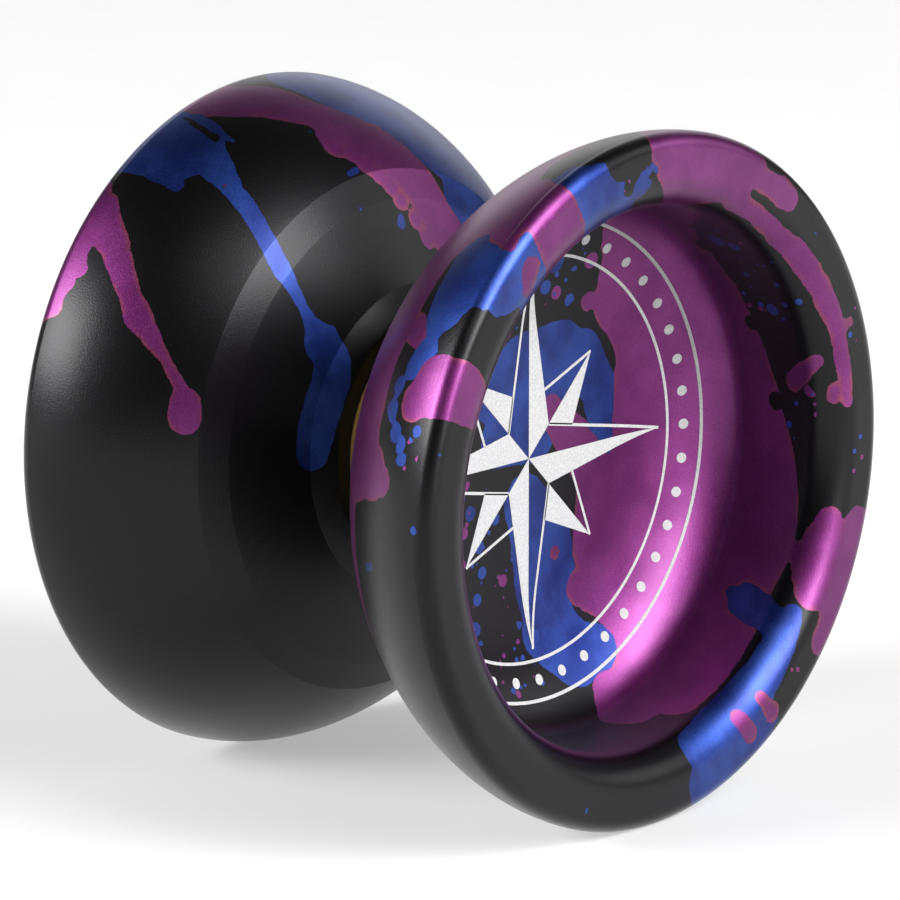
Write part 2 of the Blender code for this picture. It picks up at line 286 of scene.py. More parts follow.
def half_corners():
    """Corners of a half from the axle hole, along the string side, over the rim and into the cup."""
    ring_ends = [(RECESS_OUTER, STRING_GAP / 2)]
    for width, lean in RINGS:
        radius, along = ring_ends[-1]
        ring_ends.append((radius + width, along + width * np.tan(np.radians(lean))))
    floor = ring_ends[3][1] + FLOOR_OFFSET
    tip = floor - HUB_WALL
    hub = [(0.0, tip, 0.0), (THREAD_HOLE, tip - DRILL_POINT, 0.0)]
    hub += [(THREAD_HOLE, POST_END, BROKEN_EDGE), (POST_RADIUS, POST_END, BROKEN_EDGE)]
    hub += [(POST_RADIUS, SHOULDER, 0.0), (SHOULDER_RADIUS, SHOULDER, 0.0)]
    hub += [(SHOULDER_RADIUS, RELIEF, 0.0), (RECESS_INNER, RELIEF, 0.0)]
    hub += [(RECESS_INNER, RECESS_FLOOR, 0.0), (RECESS_OUTER, RECESS_FLOOR, 0.0)]
    skin = [(radius, along, BROKEN_EDGE) for radius, along in ring_ends]
    widest = (RIM_RADIUS, HALF_WIDTH - RIM_CORNER)
    skin += [(radius, along, 0.0) for radius, along in flank(ring_ends[-1], widest, FLANK_POINTS)]
    skin += [(RIM_RADIUS, HALF_WIDTH, RIM_CORNER), (RIM_RADIUS - RIM_WALL, HALF_WIDTH, LIP)]
    share = np.sin(np.linspace(np.pi / 2, 0.0, BOWL_POINTS))
    curve = FLOOR_FLAT + (RIM_RADIUS - RIM_WALL - FLOOR_FLAT) * share
    skin += [(radius, floor + bowl(radius), 0.0) for radius in curve]
    steps = [HIDDEN_STEP] * len(hub) + [SKIN_STEP] * len(skin) + [FLOOR_STEP]
    return hub + skin + [(0.0, floor, 0.0)], steps


half_profile = rounded(*half_corners())
CUP_FLOOR = half_profile[-1, 1]


def cup_surface(radius):
    """Where the skin of the cup lies at a radius: its floor plus the rise of the bowl."""
    return CUP_FLOOR + bowl(radius)


print("half: profile of", len(half_profile), "points,", 2 * len(half_profile) * HALF_SEGMENTS, "triangles")

# %% [markdown]
# ## Splashes in the anodised skin
#
# Splash anodising is done by flicking dye resist on to the metal: fields and drips of purple and blue with
# soft round lobes, thin necks where a drip ran, and stray drops. A bitmap could hold that, but a drip is more
# simply a chain of round drops with a radius at each, laid on the surface. Each vertex then gets its signed
# distance to the edge of the purple and to the edge of the blue, in millimetres, and the material turns the
# two distances into crisp edges.
#
# Distances are measured on the unfolded skin: a point keeps its radius and angle, but its height is the sum
# of all steps along the axis, so that the inside and the outside of the thin rim lie far apart.

# %% Unfolded skin
steps = np.diff(half_profile, axis=0)
height = np.concatenate([[0.0], np.cumsum(np.abs(steps[:, 1]))]) / MM
length = np.concatenate([[0.0], np.cumsum(np.linalg.norm(steps, axis=1))]) / MM
land_row = int(np.argmin(np.hypot(half_profile[:, 0] - RECESS_OUTER, half_profile[:, 1] - STRING_GAP / 2)))
reach = length - length[land_row]
print("skin: rim at", round(float(reach[np.argmax(half_profile[:, 0])]), 1), "mm and cup middle at",
      round(float(reach[-1]), 1), "mm from the land")


def unfold(radius, angle, high):
    """Places on the unfolded skin, in millimetres: (radius cos angle, radius sin angle, height)."""
    return np.stack([radius * np.cos(angle), radius * np.sin(angle), high + 0.0 * angle], axis=-1)


def on_skin(angle_deg, reach_mm):
    """Where a drop lands that is given by its angle round the axis and its reach from the land."""
    radius = np.interp(reach_mm, reach, half_profile[:, 0]) / MM
    return unfold(radius, np.radians(angle_deg), np.interp(reach_mm, reach, height))


# %% Drips on the skin
DRIP_STEP = 5.0
FAR_OUTSIDE = -1000.0
BARE = -9.0
BLEND = 0.5
SHORTEST = 1e-9


def drip(drops):
    """A chain of drops (angle, reach, radius), with drops added so that no two are far apart in angle."""
    drops = np.array(drops, float)
    parts = np.maximum(1, np.ceil(np.abs(np.diff(drops[:, 0])) / DRIP_STEP)).astype(int)
    fine = divided(drops, parts)
    return on_skin(fine[:, 0], fine[:, 1]), fine[:, 2]


def inside(skin, places, radii):
    """How far each place on the skin lies inside a chain of drops: radius less distance, the most of all."""
    deep = np.full(len(skin), FAR_OUTSIDE)
    ends = np.minimum(np.arange(len(places)) + 1, len(places) - 1)
    for start, end, r0, r1 in zip(places, places[ends], radii, radii[ends]):
        axis = end - start
        share = np.clip((skin - start) @ axis / max(axis @ axis, SHORTEST), 0.0, 1.0)
        gap = np.linalg.norm(skin - start - share[:, None] * axis, axis=1)
        deep = np.maximum(deep, r0 + share * (r1 - r0) - gap)
    return deep


def join(a, b):
    """Smooth maximum of two depths, which leaves a small web where two drops meet."""
    near = np.maximum(BLEND - np.abs(a - b), 0.0) / BLEND
    return np.maximum(a, b) + near ** 2 * BLEND / 4


def paint(skin, chains):
    """Depth inside the purple and inside the blue, in millimetres, after all chains in their order."""
    depth = {dye: np.full(len(skin), BARE) for dye in ("purple", "blue")}
    for colour, places, radii in chains:
        deep = inside(skin, places, radii)
        for dye in depth:
            depth[dye] = join(depth[dye], deep) if dye == colour else np.minimum(depth[dye], -deep)
    return depth


# %% [markdown]
# A drop is (angle in degrees, reach in mm, radius in mm). Many drops on the sides that the photograph shows
# were read off there point by point, and a ray from the camera gave their angle and reach. The other drops
# and the radii were given one by one. Angle 90 is the top of the yo-yo, 180 its front and 270 its foot. Later
# splashes lie over earlier ones, and black ones open gaps. Most splashes are a run of drops. Lone drops of
# one colour are listed together.

# %% Splashes of the left half
def lone(colour, *drops):
    """Splashes of one drop each, all of one colour."""
    return [(colour, [drop]) for drop in drops]


LEFT_STRING_SIDE = [
    ("blue", [(30, 24, 4.5), (50, 20, 6.0), (66, 18.5, 6.0), (80, 21.5, 4.6), (86, 24.5, 3.2)]),
    ("blue", [(56, 14, 4.5), (58, 9, 4.0)]),
    ("purple", [(106, 27, 3.0), (103, 24.8, 2.6), (98.5, 22.6, 2.5), (94.5, 20.0, 1.9), (90, 17.3, 2.1),
                (85.5, 15.4, 2.6), (81.5, 13.4, 2.4), (77.5, 11.2, 2.2), (74, 9.2, 2.2), (69, 7.4, 2.3)]),
    *lone("purple", (95.8, 17.2, 1.1), (96.6, 16.0, 1.1), (93.6, 15.0, 1.0), (92.4, 13.6, 0.9),
          (90.2, 12.6, 0.9), (87.8, 11.4, 0.9), (86.2, 10.2, 0.8), (82.6, 8.6, 0.9), (79.4, 7.0, 0.9)),
    *lone("black", (99.4, 18.9, 0.35)),
    *lone("blue", (98.6, 18.2, 0.2)),
    ("blue", [(95.6, 13.5, 0.26), (98.4, 13.4, 0.26)]),
    ("blue", [(88.2, 8.9, 0.3), (88.9, 8.3, 0.45)]),
    ("blue", [(119, 29, 4.2), (119, 26, 4.0), (118.8, 24, 3.4), (118, 22, 1.8), (119.7, 20, 1.4),
              (121.5, 18, 0.85), (123, 16, 0.8), (125.5, 14, 0.75), (128.3, 12, 0.85), (129.8, 10.5, 0.75),
              (131.7, 9, 0.5), (133.4, 7.8, 0.45), (135.2, 6.8, 0.6), (138.5, 5, 1.6), (142, 3.6, 1.6),
              (150, 3.0, 1.6), (160, 3.1, 1.55), (170, 3.3, 1.5), (176.5, 3.4, 1.3)]),
    ("blue", [(125.5, 24, 0.9), (126.3, 21.9, 0.55)]),
    ("black", [(112.3, 26.2, 0.2), (113.2, 24.2, 0.4), (113.8, 22.4, 0.4)]),
    ("blue", [(110.8, 25.5, 0.45), (111.4, 23.4, 0.3), (112.7, 20.7, 0.12)]),
    *lone("purple", (121.5, 18.8, 0.2)),
    ("purple", [(132.5, 28.4, 1.7), (140, 28.2, 2.4), (146, 27.7, 2.0), (150.5, 28.0, 1.8),
                (154, 28.4, 1.4)]),
    ("purple", [(136, 26.9, 2.0), (138.8, 25.1, 1.5), (141, 23.8, 1.25), (144.3, 22.4, 1.1), (148, 21, 0.9),
                (151.5, 19.7, 1.15), (154.7, 18.1, 0.8), (157.7, 16.6, 0.4), (160.6, 15.6, 0.42),
                (162.8, 14.9, 0.6), (165.3, 14.4, 1.2), (168.3, 14.2, 1.35)]),
    *lone("purple", (153.6, 26.9, 0.8), (149.6, 26.3, 0.6), (146.4, 25.7, 0.6)),
    *lone("blue", (153, 22, 0.12), (119.5, 14.5, 0.11), (100.5, 10.5, 0.11)),
    ("purple", [(341, 29, 4.0), (338, 26, 3.2), (335, 21, 1.5), (331, 15, 0.8), (330, 12, 1.2)]),
    ("blue", [(309, 29, 3.5), (308, 26, 2.8), (305, 21, 1.2), (302, 16.5, 0.6), (301, 14.5, 1.0)]),
    ("purple", [(12, 24, 4.0), (8, 17, 3.0), (4, 11, 2.6), (2, 7, 1.4)]),
]

# %% Splashes of the right half
RIGHT_STRING_SIDE = [
    ("purple", [(95, 20, 4.0), (110, 20, 4.0), (122, 22, 4.2), (122, 26, 4.4)]),
    ("purple", [(122, 19, 3.8), (138, 17.5, 4.2), (153, 16.5, 4.4), (166, 16.8, 4.4)]),
    ("purple", [(168.5, 18.5, 3.7), (170.3, 21, 2.2), (171, 22.8, 1.2)]),
    ("blue", [(132.5, 25.2, 2.6), (137, 25.6, 3.0), (141, 25.6, 2.7), (145.5, 24.6, 1.5)]),
    ("purple", [(145.6, 22.2, 1.3), (148, 23.6, 0.7)]),
    ("blue", [(146.5, 25.6, 0.9), (149, 24.8, 1.2), (152, 23.9, 1.1)]),
    ("black", [(142.4, 28.0, 0.8), (145, 27.6, 0.8), (147.2, 26.4, 0.8)]),
    *lone("blue", (155.4, 22.7, 0.75)),
    ("blue", [(159.4, 22.5, 0.8), (160.4, 22.8, 0.6)]),
    *lone("blue", (163, 23.7, 0.75), (167, 25, 0.6), (162.2, 26.2, 0.5), (177.5, 27, 0.3)),
    ("blue", [(186, 21, 0.4), (187, 20, 0.3)]),
    ("blue", [(62, 16, 4.2), (42, 17, 4.0), (22, 18, 3.2)]),
    ("purple", [(5, 21, 2.6), (0, 18, 1.8), (356, 14, 0.9), (354, 11.5, 1.3)]),
    ("purple", [(330, 26, 4.5), (326, 21, 2.4), (323, 16, 1.0), (322, 13, 0.8), (321, 10, 1.3)]),
    ("blue", [(292, 26, 4.0), (290, 21, 1.8), (286, 16, 0.8), (285, 14, 1.2)]),
]
RIM_AND_CUP = [
    ("purple", [(86.5, 29.0, 3.2), (80, 30.2, 4.2), (72, 30.0, 3.2), (65, 30.2, 2.0), (58, 29.8, 1.4),
                (53, 29.8, 1.1)]),
    ("purple", [(66, 32.3, 1.2), (58, 32.6, 0.8), (50, 32.7, 0.9), (42.5, 32.3, 1.05), (34, 32.0, 1.0),
                (28, 31.8, 1.0), (21.5, 31.7, 0.8), (15, 31.8, 0.7), (10, 31.8, 0.65), (6.5, 31.8, 0.55)]),
    ("purple", [(21.5, 31.2, 0.35), (21.6, 30.2, 0.4)]),
    ("purple", [(9.6, 32.8, 0.6), (7.8, 33.0, 0.5)]),
    ("black", [(60.5, 28.2, 0.8), (57.5, 28.2, 0.6)]),
    ("black", [(63, 31.3, 0.3), (59.5, 31.35, 0.35), (55.5, 31.4, 0.35), (51, 31.4, 0.4), (47, 31.2, 0.5)]),
    ("purple", [(11, 36.4, 0.8), (14, 35.2, 0.8), (16.5, 34.0, 0.6)]),
    ("blue", [(40.5, 30.4, 0.1), (42.5, 29.9, 0.1)]),
    ("blue", [(104, 30.2, 1.8), (111, 30, 2.8), (119, 30, 3.4), (128, 29.6, 3.3), (136, 29.2, 1.9)]),
    ("blue", [(103, 33, 2.2), (112, 33, 2.6), (122, 33, 2.4), (131, 32.6, 1.8)]),
    ("purple", [(119.5, 27, 2.7), (119.5, 30, 2.7), (119.5, 33, 2.6)]),
    ("purple", [(129, 30.4, 1.0), (131.6, 31.4, 0.7)]),
    ("purple", [(126.5, 26.6, 1.6), (128.6, 27.4, 0.7)]),
    ("black", [(101, 28.6, 1.7), (97, 29.6, 1.2), (99.6, 31.0, 0.8)]),
    ("blue", [(95.6, 30.6, 0.5), (96.6, 31.4, 0.9), (94.6, 31.4, 0.5)]),
    ("blue", [(93.4, 30.0, 0.3), (92.2, 30.4, 0.25)]),
    ("black", [(144.6, 28.6, 1.5), (144.6, 31.5, 1.7), (144.6, 33.5, 1.7)]),
    ("purple", [(157.6, 25.2, 1.6), (154.6, 27.0, 2.5), (154.4, 29.4, 2.3), (155.6, 31.6, 1.8)]),
    *lone("blue", (165, 28.5, 0.2), (250, 29.5, 0.25)),
    ("blue", [(283.5, 29.6, 2.4), (290, 29.6, 2.8), (297, 29.8, 2.5), (302, 30.4, 1.6)]),
    ("blue", [(284, 32.6, 1.9), (292, 32.9, 2.0), (300, 32.9, 1.9), (308, 32.9, 1.7), (315, 33.0, 1.4),
              (321.5, 33.2, 0.9)]),
    ("purple", [(321.5, 29.2, 1.5), (325.6, 28.6, 2.0), (333, 29.5, 2.9), (342, 29.5, 1.9)]),
    ("purple", [(328, 32.4, 1.6), (334, 32.8, 2.2), (342, 32.6, 1.3)]),
    ("purple", [(88, 36, 1.6), (80, 37.6, 3.2), (70, 39.4, 3.6), (60, 43.5, 3.6), (50, 45.4, 4.6),
                (40, 46.4, 5.6), (28, 46.4, 6.2), (14, 46, 6.6), (0, 45.4, 7.2), (-12, 44, 7.6),
                (-26, 43, 7.4), (-40, 43, 6.6), (-54, 42.4, 5.4), (-66, 41.6, 4.2), (-74, 40.6, 2.6)]),
    ("purple", [(-14, 38, 2.4), (-24, 37.2, 2.2), (-34, 38, 2.4), (-46, 37.6, 2.2), (-58, 37.4, 2.2),
                (-68, 37.2, 1.8)]),
    ("black", [(308.5, 29.6, 1.1), (312.5, 30.2, 1.2), (316, 30.6, 0.7)]),
    ("purple", [(312.5, 30.9, 0.15), (313.5, 30.2, 0.2)]),
    ("purple", [(295.9, 32.3, 0.7), (296.8, 30.4, 0.85)]),
    ("purple", [(303, 32, 0.55), (303.6, 30.0, 0.85)]),
    ("blue", [(318.5, 34.4, 1.3), (320.4, 36.2, 1.5), (321.8, 38, 1.5), (323, 39.4, 0.6)]),
    *lone("black", (47, 40.5, 0.8), (24, 39.6, 0.7), (6, 38.4, 0.8)),
    *lone("blue", (70, 45, 0.5)),
    ("blue", [(150, 41, 4.0), (170, 42, 4.2), (186, 40, 3.0)]),
    ("purple", [(200, 41, 3.4), (214, 42, 2.6), (222, 40, 1.2)]),
    ("blue", [(240, 44, 1.6), (246, 45.5, 1.0)]),
]

# %% [markdown]
# On the floor and the bowl of a cup a drop is more simply given by its place across and up from the middle,
# in mm.

# %% Splashes of a cup floor
CUP_FLOOR_DROPS = [
    ("blue", [(-4.5, 6, 2.4), (-1, 7, 3.2), (3.5, 7, 3.6)]),
    ("blue", [(-3.5, 2, 2.2), (0.5, 2.5, 3.0)]),
    ("blue", [(-0.5, -3.5, 2.4), (1.5, -7, 3.6), (2.2, -10.5, 3.6)]),
    ("blue", [(2, -14, 3.0), (4.5, -16.5, 2.8), (7, -16.5, 2.0)]),
    ("purple", [(17, 8, 4.4), (15, 3, 5.2)]),
    ("purple", [(15.5, -4, 5.2), (15, -9, 4.8)]),
    ("purple", [(11, 11.5, 3.4), (13.5, 10, 4.0)]),
    ("purple", [(9.5, -3, 3.6), (9, -8, 3.6)]),
    ("purple", [(2.6, 3.4, 1.3), (5.5, 0.6, 2.0), (8, -2, 2.5)]),
    *lone("purple", (9, 13.2, 1.2), (7, 11.6, 0.8)),
    ("purple", [(6.2, -11.6, 1.6), (10, -12.5, 3.0)]),
    ("blue", [(6.5, 7, 2.4), (8.4, 4.6, 2.0), (8.8, 2, 1.6), (9.8, -0.6, 0.6)]),
    *lone("purple", (-3, 10.8, 0.9)),
    *lone("blue", (2.5, 15.6, 1.0)),
    *lone("purple", (8.2, 16.2, 0.7), (3.2, -8.2, 0.6)),
    *lone("blue", (-7, -3.2, 0.6), (-6.6, -12.6, 0.6)),
    ("purple", [(-13, 6, 3.6), (-15, 1, 3.2), (-13, -4, 2.0)]),
    ("blue", [(-11, 12, 2.6), (-8, 14.5, 2.0)]),
    ("blue", [(-12, -11, 2.8), (-9.5, -14.5, 1.8)]),
]
LEFT_CUP = [
    ("purple", [(20, 36, 3.0), (40, 40, 5.0), (62, 42, 4.6)]),
    ("blue", [(90, 41, 4.4), (108, 42, 4.0)]),
    ("purple", [(170, 35, 3.0), (182, 41, 5.0), (205, 42, 5.2), (230, 42, 4.6)]),
    ("blue", [(262, 34, 2.4), (268, 38, 1.6), (272, 42, 1.0)]),
    ("blue", [(318, 41, 4.6), (335, 42, 3.6)]),
]
FLOOR_TURN = {"right": 0.0, "left": 150.0}


def skin_chains(splashes):
    """Chains of drops on the skin, as colour, places and radii."""
    return [(colour, *drip(drops)) for colour, drops in splashes]


def floor_chains(splashes, turn=0.0):
    """Chains of drops on the cup floor, the whole layout turned about the middle by an angle in degrees."""
    cos_t, sin_t = np.cos(np.radians(turn)), np.sin(np.radians(turn))
    chains = []
    for colour, drops in splashes:
        y, z, radii = np.array(drops, float).T
        level = height[-1] - (cup_surface(np.hypot(y, z) * MM) - CUP_FLOOR) / MM
        places = np.column_stack([cos_t * y - sin_t * z, sin_t * y + cos_t * z, level])
        chains.append((colour, places, radii))
    return chains


# %% [markdown]
# Fine spatter is too small for the grid, so the material makes it. The grid only says where it may fall: a
# number from 0 to 1 that fades out over a couple of millimetres round each zone below.

# %% Zones of fine spatter
SPATTER = {
    "right": [(5, 37, 4.0), (35, 37, 5.0), (52, 38, 4.0), (20, 30.5, 2.5), (355, 31, 2.5), (98, 30, 2.0),
              (165, 25.5, 2.0)],
    "left": [(200, 40, 4.0), (290, 38, 5.0), (150, 38, 4.0), (70, 30.5, 2.5)],
}
FLOOR_SPATTER = [(3, 15.5, 4.5), (-6, -3, 4.0), (-6, -10, 5.0), (-2, -16, 4.0), (-3, 12, 3.0)]
SPATTER_FADE = 2.0


def spatter_amount(skin, side):
    """1 well inside a zone, 0 outside it, fading evenly over SPATTER_FADE millimetres at its edge."""
    amount = np.zeros(len(skin))
    chains = skin_chains(lone("any", *SPATTER[side]))
    chains += floor_chains(lone("any", *FLOOR_SPATTER), FLOOR_TURN[side])
    for _, places, radii in chains:
        amount = np.maximum(amount, inside(skin, places, radii) / SPATTER_FADE)
    return np.clip(amount, 0.0, 1.0)


# %% Make the two halves
CHAINS = {
    "right": skin_chains(RIGHT_STRING_SIDE + RIM_AND_CUP) + floor_chains(CUP_FLOOR_DROPS),
    "left": skin_chains(LEFT_STRING_SIDE + LEFT_CUP) + floor_chains(CUP_FLOOR_DROPS, FLOOR_TURN["left"]),
}


def splashed_half(side):
    """A half with its splashes kept on its vertices as the attributes purple, blue and spatter."""
    surface = turned(half_profile, HALF_SEGMENTS, SIDES[side])
    rows, columns = surface[2:]
    angle = 2 * np.pi * columns / HALF_SEGMENTS
    skin = unfold(half_profile[rows, 0] / MM, angle, height[rows])
    fields = paint(skin, CHAINS[side])
    fields["spatter"] = spatter_amount(skin, side)
    made = piece(f"splashed_half_{side}", surface)
    for field, values in fields.items():
        layer = made.data.attributes.new(field, "FLOAT", "POINT")
        layer.data.foreach_set("value", values.astype(np.float32))
    shares = [float(np.mean(fields[dye] > 0)) for dye in ("purple", "blue")]
    print(made.name, "purple and blue shares of its points:", np.round(shares, 2))
    return made


halves = {side: splashed_half(side) for side in SIDES}

# %% [markdown]
# ## Marking on the cup floors
#
# A laser burns the dye off the floor of each cup and leaves pale bare metal. The marking here is an old and
# common ornament: a compass star with half-filled points, inside a ring of dots between two circles. Each
# stroke is a thin plate that stands a few hundredths of a millimetre out of the floor, so it shows as
# geometry in any light.

# %% Strokes of the marking
MARK_HEIGHT = 0.03 * MM
MARK_SINK = 0.02 * MM
MARK_STEP = 1.0 * MM
MARK_ROWS = 5
BORDER_RADIUS = 19.25 * MM
INNER_CIRCLE = 16.3 * MM
LINE = 0.24 * MM
DOT_RADIUS = 0.42 * MM
DOT_COUNT = 40
DOT_CORNERS = 20
CIRCLE_SEGMENTS = 180
QUARTERS = 4
LONG_POINT = 15.4 * MM
SHORT_POINT = 10.6 * MM
POINT_WAIST = 3.4 * MM
SHORT_FOOT = 0.22


def plate(y, z, sign):
    """A thin plate on the cup floor with the outline y, z, which every point sees from its middle.

    The outline shrinks to its middle in even shares, and each point is lifted on to the cup's skin.
    """
    corners = np.column_stack([y, z])
    ahead = np.roll(corners, -1, axis=0)
    if np.sum(corners[:, 0] * ahead[:, 1] - ahead[:, 0] * corners[:, 1]) < 0:
        corners = corners[::-1]
        ahead = np.roll(corners, -1, axis=0)
    parts = np.ceil(np.linalg.norm(ahead - corners, axis=1) / MARK_STEP).astype(int)
    outline = divided(np.concatenate([corners, corners[:1]]), parts)[:-1]
    middle = corners.mean(axis=0)
    shares = np.linspace(0.0, 1.0, MARK_ROWS)
    shares = np.concatenate([shares, shares[::-1]])[:, None, None]
    across = middle + shares * (outline - middle)
    lift = np.repeat([-MARK_SINK, MARK_HEIGHT], MARK_ROWS)[:, None]
    along = sign * (cup_surface(np.linalg.norm(across, axis=-1)) + lift)
    return grid(np.concatenate([along[..., None], across], axis=-1), flip=sign < 0)


def stroke(a, b, sign):
    """A straight line of width LINE from a to b."""
    across = np.array([a[1] - b[1], b[0] - a[0]])
    across *= LINE / 2 / np.linalg.norm(across)
    return plate(*np.array([a - across, b - across, b + across, a + across]).T, sign)


def circle_line(radius, width, sign):
    """A thin flat ring on the cup floor."""
    ring = radius + width / 2 * np.array([-1.0, 1.0, 1.0, -1.0])
    lift = np.array([-MARK_SINK, -MARK_SINK, MARK_HEIGHT, MARK_HEIGHT])
    return turned(np.column_stack([ring, cup_surface(ring) + lift]), CIRCLE_SEGMENTS, sign, closed_rows=True)


def on_floor(radius, turn):
    """A place on the cup floor by its distance and direction from the middle."""
    return radius * np.array([np.cos(turn), np.sin(turn)])


def star_quarter(turn, sign):
    """A long point of the star and the short one after it, each half filled, with its other edge drawn."""
    tip, next_tip = on_floor(LONG_POINT, turn), on_floor(LONG_POINT, turn + np.pi / 2)
    low_waist, waist = on_floor(POINT_WAIST, turn - np.pi / 4), on_floor(POINT_WAIST, turn + np.pi / 4)
    short_tip = on_floor(SHORT_POINT, turn + np.pi / 4)
    low_foot, high_foot = waist + SHORT_FOOT * (tip - waist), waist + SHORT_FOOT * (next_tip - waist)
    filled = [(0 * tip, low_waist, tip), (waist, low_foot, short_tip)]
    edges = [(waist, tip), (high_foot, short_tip)]
    return [plate(*np.array(f).T, sign) for f in filled] + [stroke(a, b, sign) for a, b in edges]


def dot(angle, sign):
    """One round dot between the two outer circles."""
    middle = (BORDER_RADIUS + INNER_CIRCLE) / 2
    turn = 2 * np.pi * np.arange(DOT_CORNERS) / DOT_CORNERS
    y = middle * np.cos(angle) + DOT_RADIUS * np.cos(turn)
    z = middle * np.sin(angle) + DOT_RADIUS * np.sin(turn)
    return plate(y, z, sign)


def marking(name, sign):
    """The whole marking of one cup floor as one mesh: two circles, a ring of dots and the star."""
    strokes = [circle_line(radius, LINE, sign) for radius in (BORDER_RADIUS, INNER_CIRCLE)]
    strokes += [dot(2 * np.pi * i / DOT_COUNT, sign) for i in range(DOT_COUNT)]
    for i in range(QUARTERS):
        strokes += star_quarter(np.pi / 2 * i, sign)
    return piece(name, *strokes)


markings = {side: marking(f"floor_marking_{side}", sign) for side, sign in SIDES.items()}
print("marking:", len(markings["right"].data.polygons), "faces on each floor")

# %% [markdown]
# ## Response pads
#
# A ring of soft silicone sits in a recess beside the bearing and grips the string. A poured or punched ring
# has no sharp edge: its corners are round and its face is very slightly crowned.

# %% Silicone rings
PAD_INNER = 7.1 * MM
PAD_OUTER = 9.45 * MM
PAD_FRONT = 2.45 * MM
PAD_BACK = 3.55 * MM
PAD_EDGE = 0.3 * MM
PAD_CROWN = 0.05 * MM
PAD_STEP = 0.3 * MM
PAD_SEGMENTS = 160


def pad_profile():
    """Closed section of a pad: a crowned face with round edges, and a flat back."""
    middle = (PAD_INNER + PAD_OUTER) / 2
    face = PAD_FRONT + PAD_CROWN
    front = [(PAD_INNER, face, PAD_EDGE), (middle, PAD_FRONT, 2 * PAD_OUTER), (PAD_OUTER, face, PAD_EDGE)]
    back = [(PAD_OUTER, PAD_BACK, PAD_EDGE / 2), (PAD_INNER, PAD_BACK, PAD_EDGE / 2)]
    return loop(front + back, PAD_STEP)


pads = {}
for side, sign in SIDES.items():
    pads[side] = piece(f"silicone_ring_{side}", turned(pad_profile(), PAD_SEGMENTS, sign, closed_rows=True))
print("pads:", len(pads["right"].data.polygons), "faces each")

# %% [markdown]
# ## Ball bearing
#
# The string runs on a small ball bearing. Its outer ring has a shallow groove that keeps the string in the
# middle. The tracks are arcs a little larger than the balls. A thin shield closes each end, and an open wire
# ring holds the shield in its seat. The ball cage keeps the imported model's own shape.

# %% Sizes of the bearing
BORE = 3.175 * MM
RING_OUTER = 6.35 * MM
RING_FACE = 4.7625 * MM / 2
PITCH = (BORE + RING_OUTER) / 2
BALL_SHARE = 0.625
BALL = BALL_SHARE * (RING_OUTER - BORE) / 2
BALL_PLAY = 0.04 * MM
TRACK = BALL + BALL_PLAY
TRACK_SHARE = 0.32
TRACK_DEPTH = TRACK_SHARE * BALL
TRACK_POINTS = 17
INNER_LAND = PITCH - TRACK + TRACK_DEPTH
OUTER_LAND = PITCH + TRACK - TRACK_DEPTH
STRING_GROOVE = 0.25 * MM
GROOVE_EDGE = 0.3 * MM
GROOVE_POINTS = 21
SEAT_LEDGE = 0.3 * MM
SEAT_RADIUS = OUTER_LAND + SEAT_LEDGE
WIRE = 0.1 * MM
WIRE_PLAY = 0.03 * MM
WIRE_OPENING = np.radians(24.0)
WIRE_POINTS = 97
WIRE_SIDES = 12
WIRE_GROOVE = SEAT_RADIUS + 0.1 * MM
WIRE_TOP = RING_FACE - 0.15 * MM
WIRE_BOTTOM = WIRE_TOP - 0.26 * MM
SHIELD_PLAY = 0.05 * MM
SHIELD_GAP = 0.1 * MM
SHIELD_THICKNESS = 0.2 * MM
SHIELD_TOP = WIRE_BOTTOM - SHIELD_PLAY
SHIELD_BOTTOM = SHIELD_TOP - SHIELD_THICKNESS
SHIELD_SEAT = SHIELD_BOTTOM - SHIELD_PLAY
RING_EDGE = 0.08 * MM
FINE_EDGE = 0.03 * MM
RING_STEP = 0.2 * MM
RING_SEGMENTS = 128
BALL_COUNT = 10

# %% Rings, shields and snap rings
half_track = np.sqrt(TRACK ** 2 - (TRACK - TRACK_DEPTH) ** 2)
track_along = np.linspace(-half_track, half_track, TRACK_POINTS)


def track(sign):
    """Corners on a ball track: pitch radius plus or minus the height of a circle of radius TRACK."""
    return [(PITCH + sign * np.sqrt(TRACK ** 2 - x ** 2), x, 0.0) for x in track_along]


def string_groove():
    """Corners on the string groove: deepest in the middle, rising with the square of the distance."""
    half_chord = RING_FACE - GROOVE_EDGE
    along = np.linspace(-half_chord, half_chord, GROOVE_POINTS)
    return [(RING_OUTER - STRING_GROOVE * (1 - (x / half_chord) ** 2), x, 0.0) for x in along]


seat = [(SEAT_RADIUS, RING_FACE, FINE_EDGE), (SEAT_RADIUS, WIRE_TOP, 0.0), (WIRE_GROOVE, WIRE_TOP, 0.0),
        (WIRE_GROOVE, WIRE_BOTTOM, 0.0), (SEAT_RADIUS, WIRE_BOTTOM, 0.0), (SEAT_RADIUS, SHIELD_SEAT, 0.0),
        (OUTER_LAND, SHIELD_SEAT, FINE_EDGE)]
other_seat = [(radius, -along, edge) for radius, along, edge in reversed(seat)]
outer_corners = [(RING_OUTER, -RING_FACE, RING_EDGE), *string_groove(), (RING_OUTER, RING_FACE, RING_EDGE)]
outer_profile = loop(outer_corners + seat + track(1)[::-1] + other_seat, RING_STEP)
inner_corners = [(INNER_LAND, -RING_FACE, RING_EDGE), *track(-1), (INNER_LAND, RING_FACE, RING_EDGE)]
bore_corners = [(BORE, RING_FACE, RING_EDGE), (BORE, -RING_FACE, RING_EDGE)]
inner_profile = loop(inner_corners + bore_corners, RING_STEP)
shield_inner, shield_outer = INNER_LAND + SHIELD_GAP, SEAT_RADIUS - SHIELD_PLAY
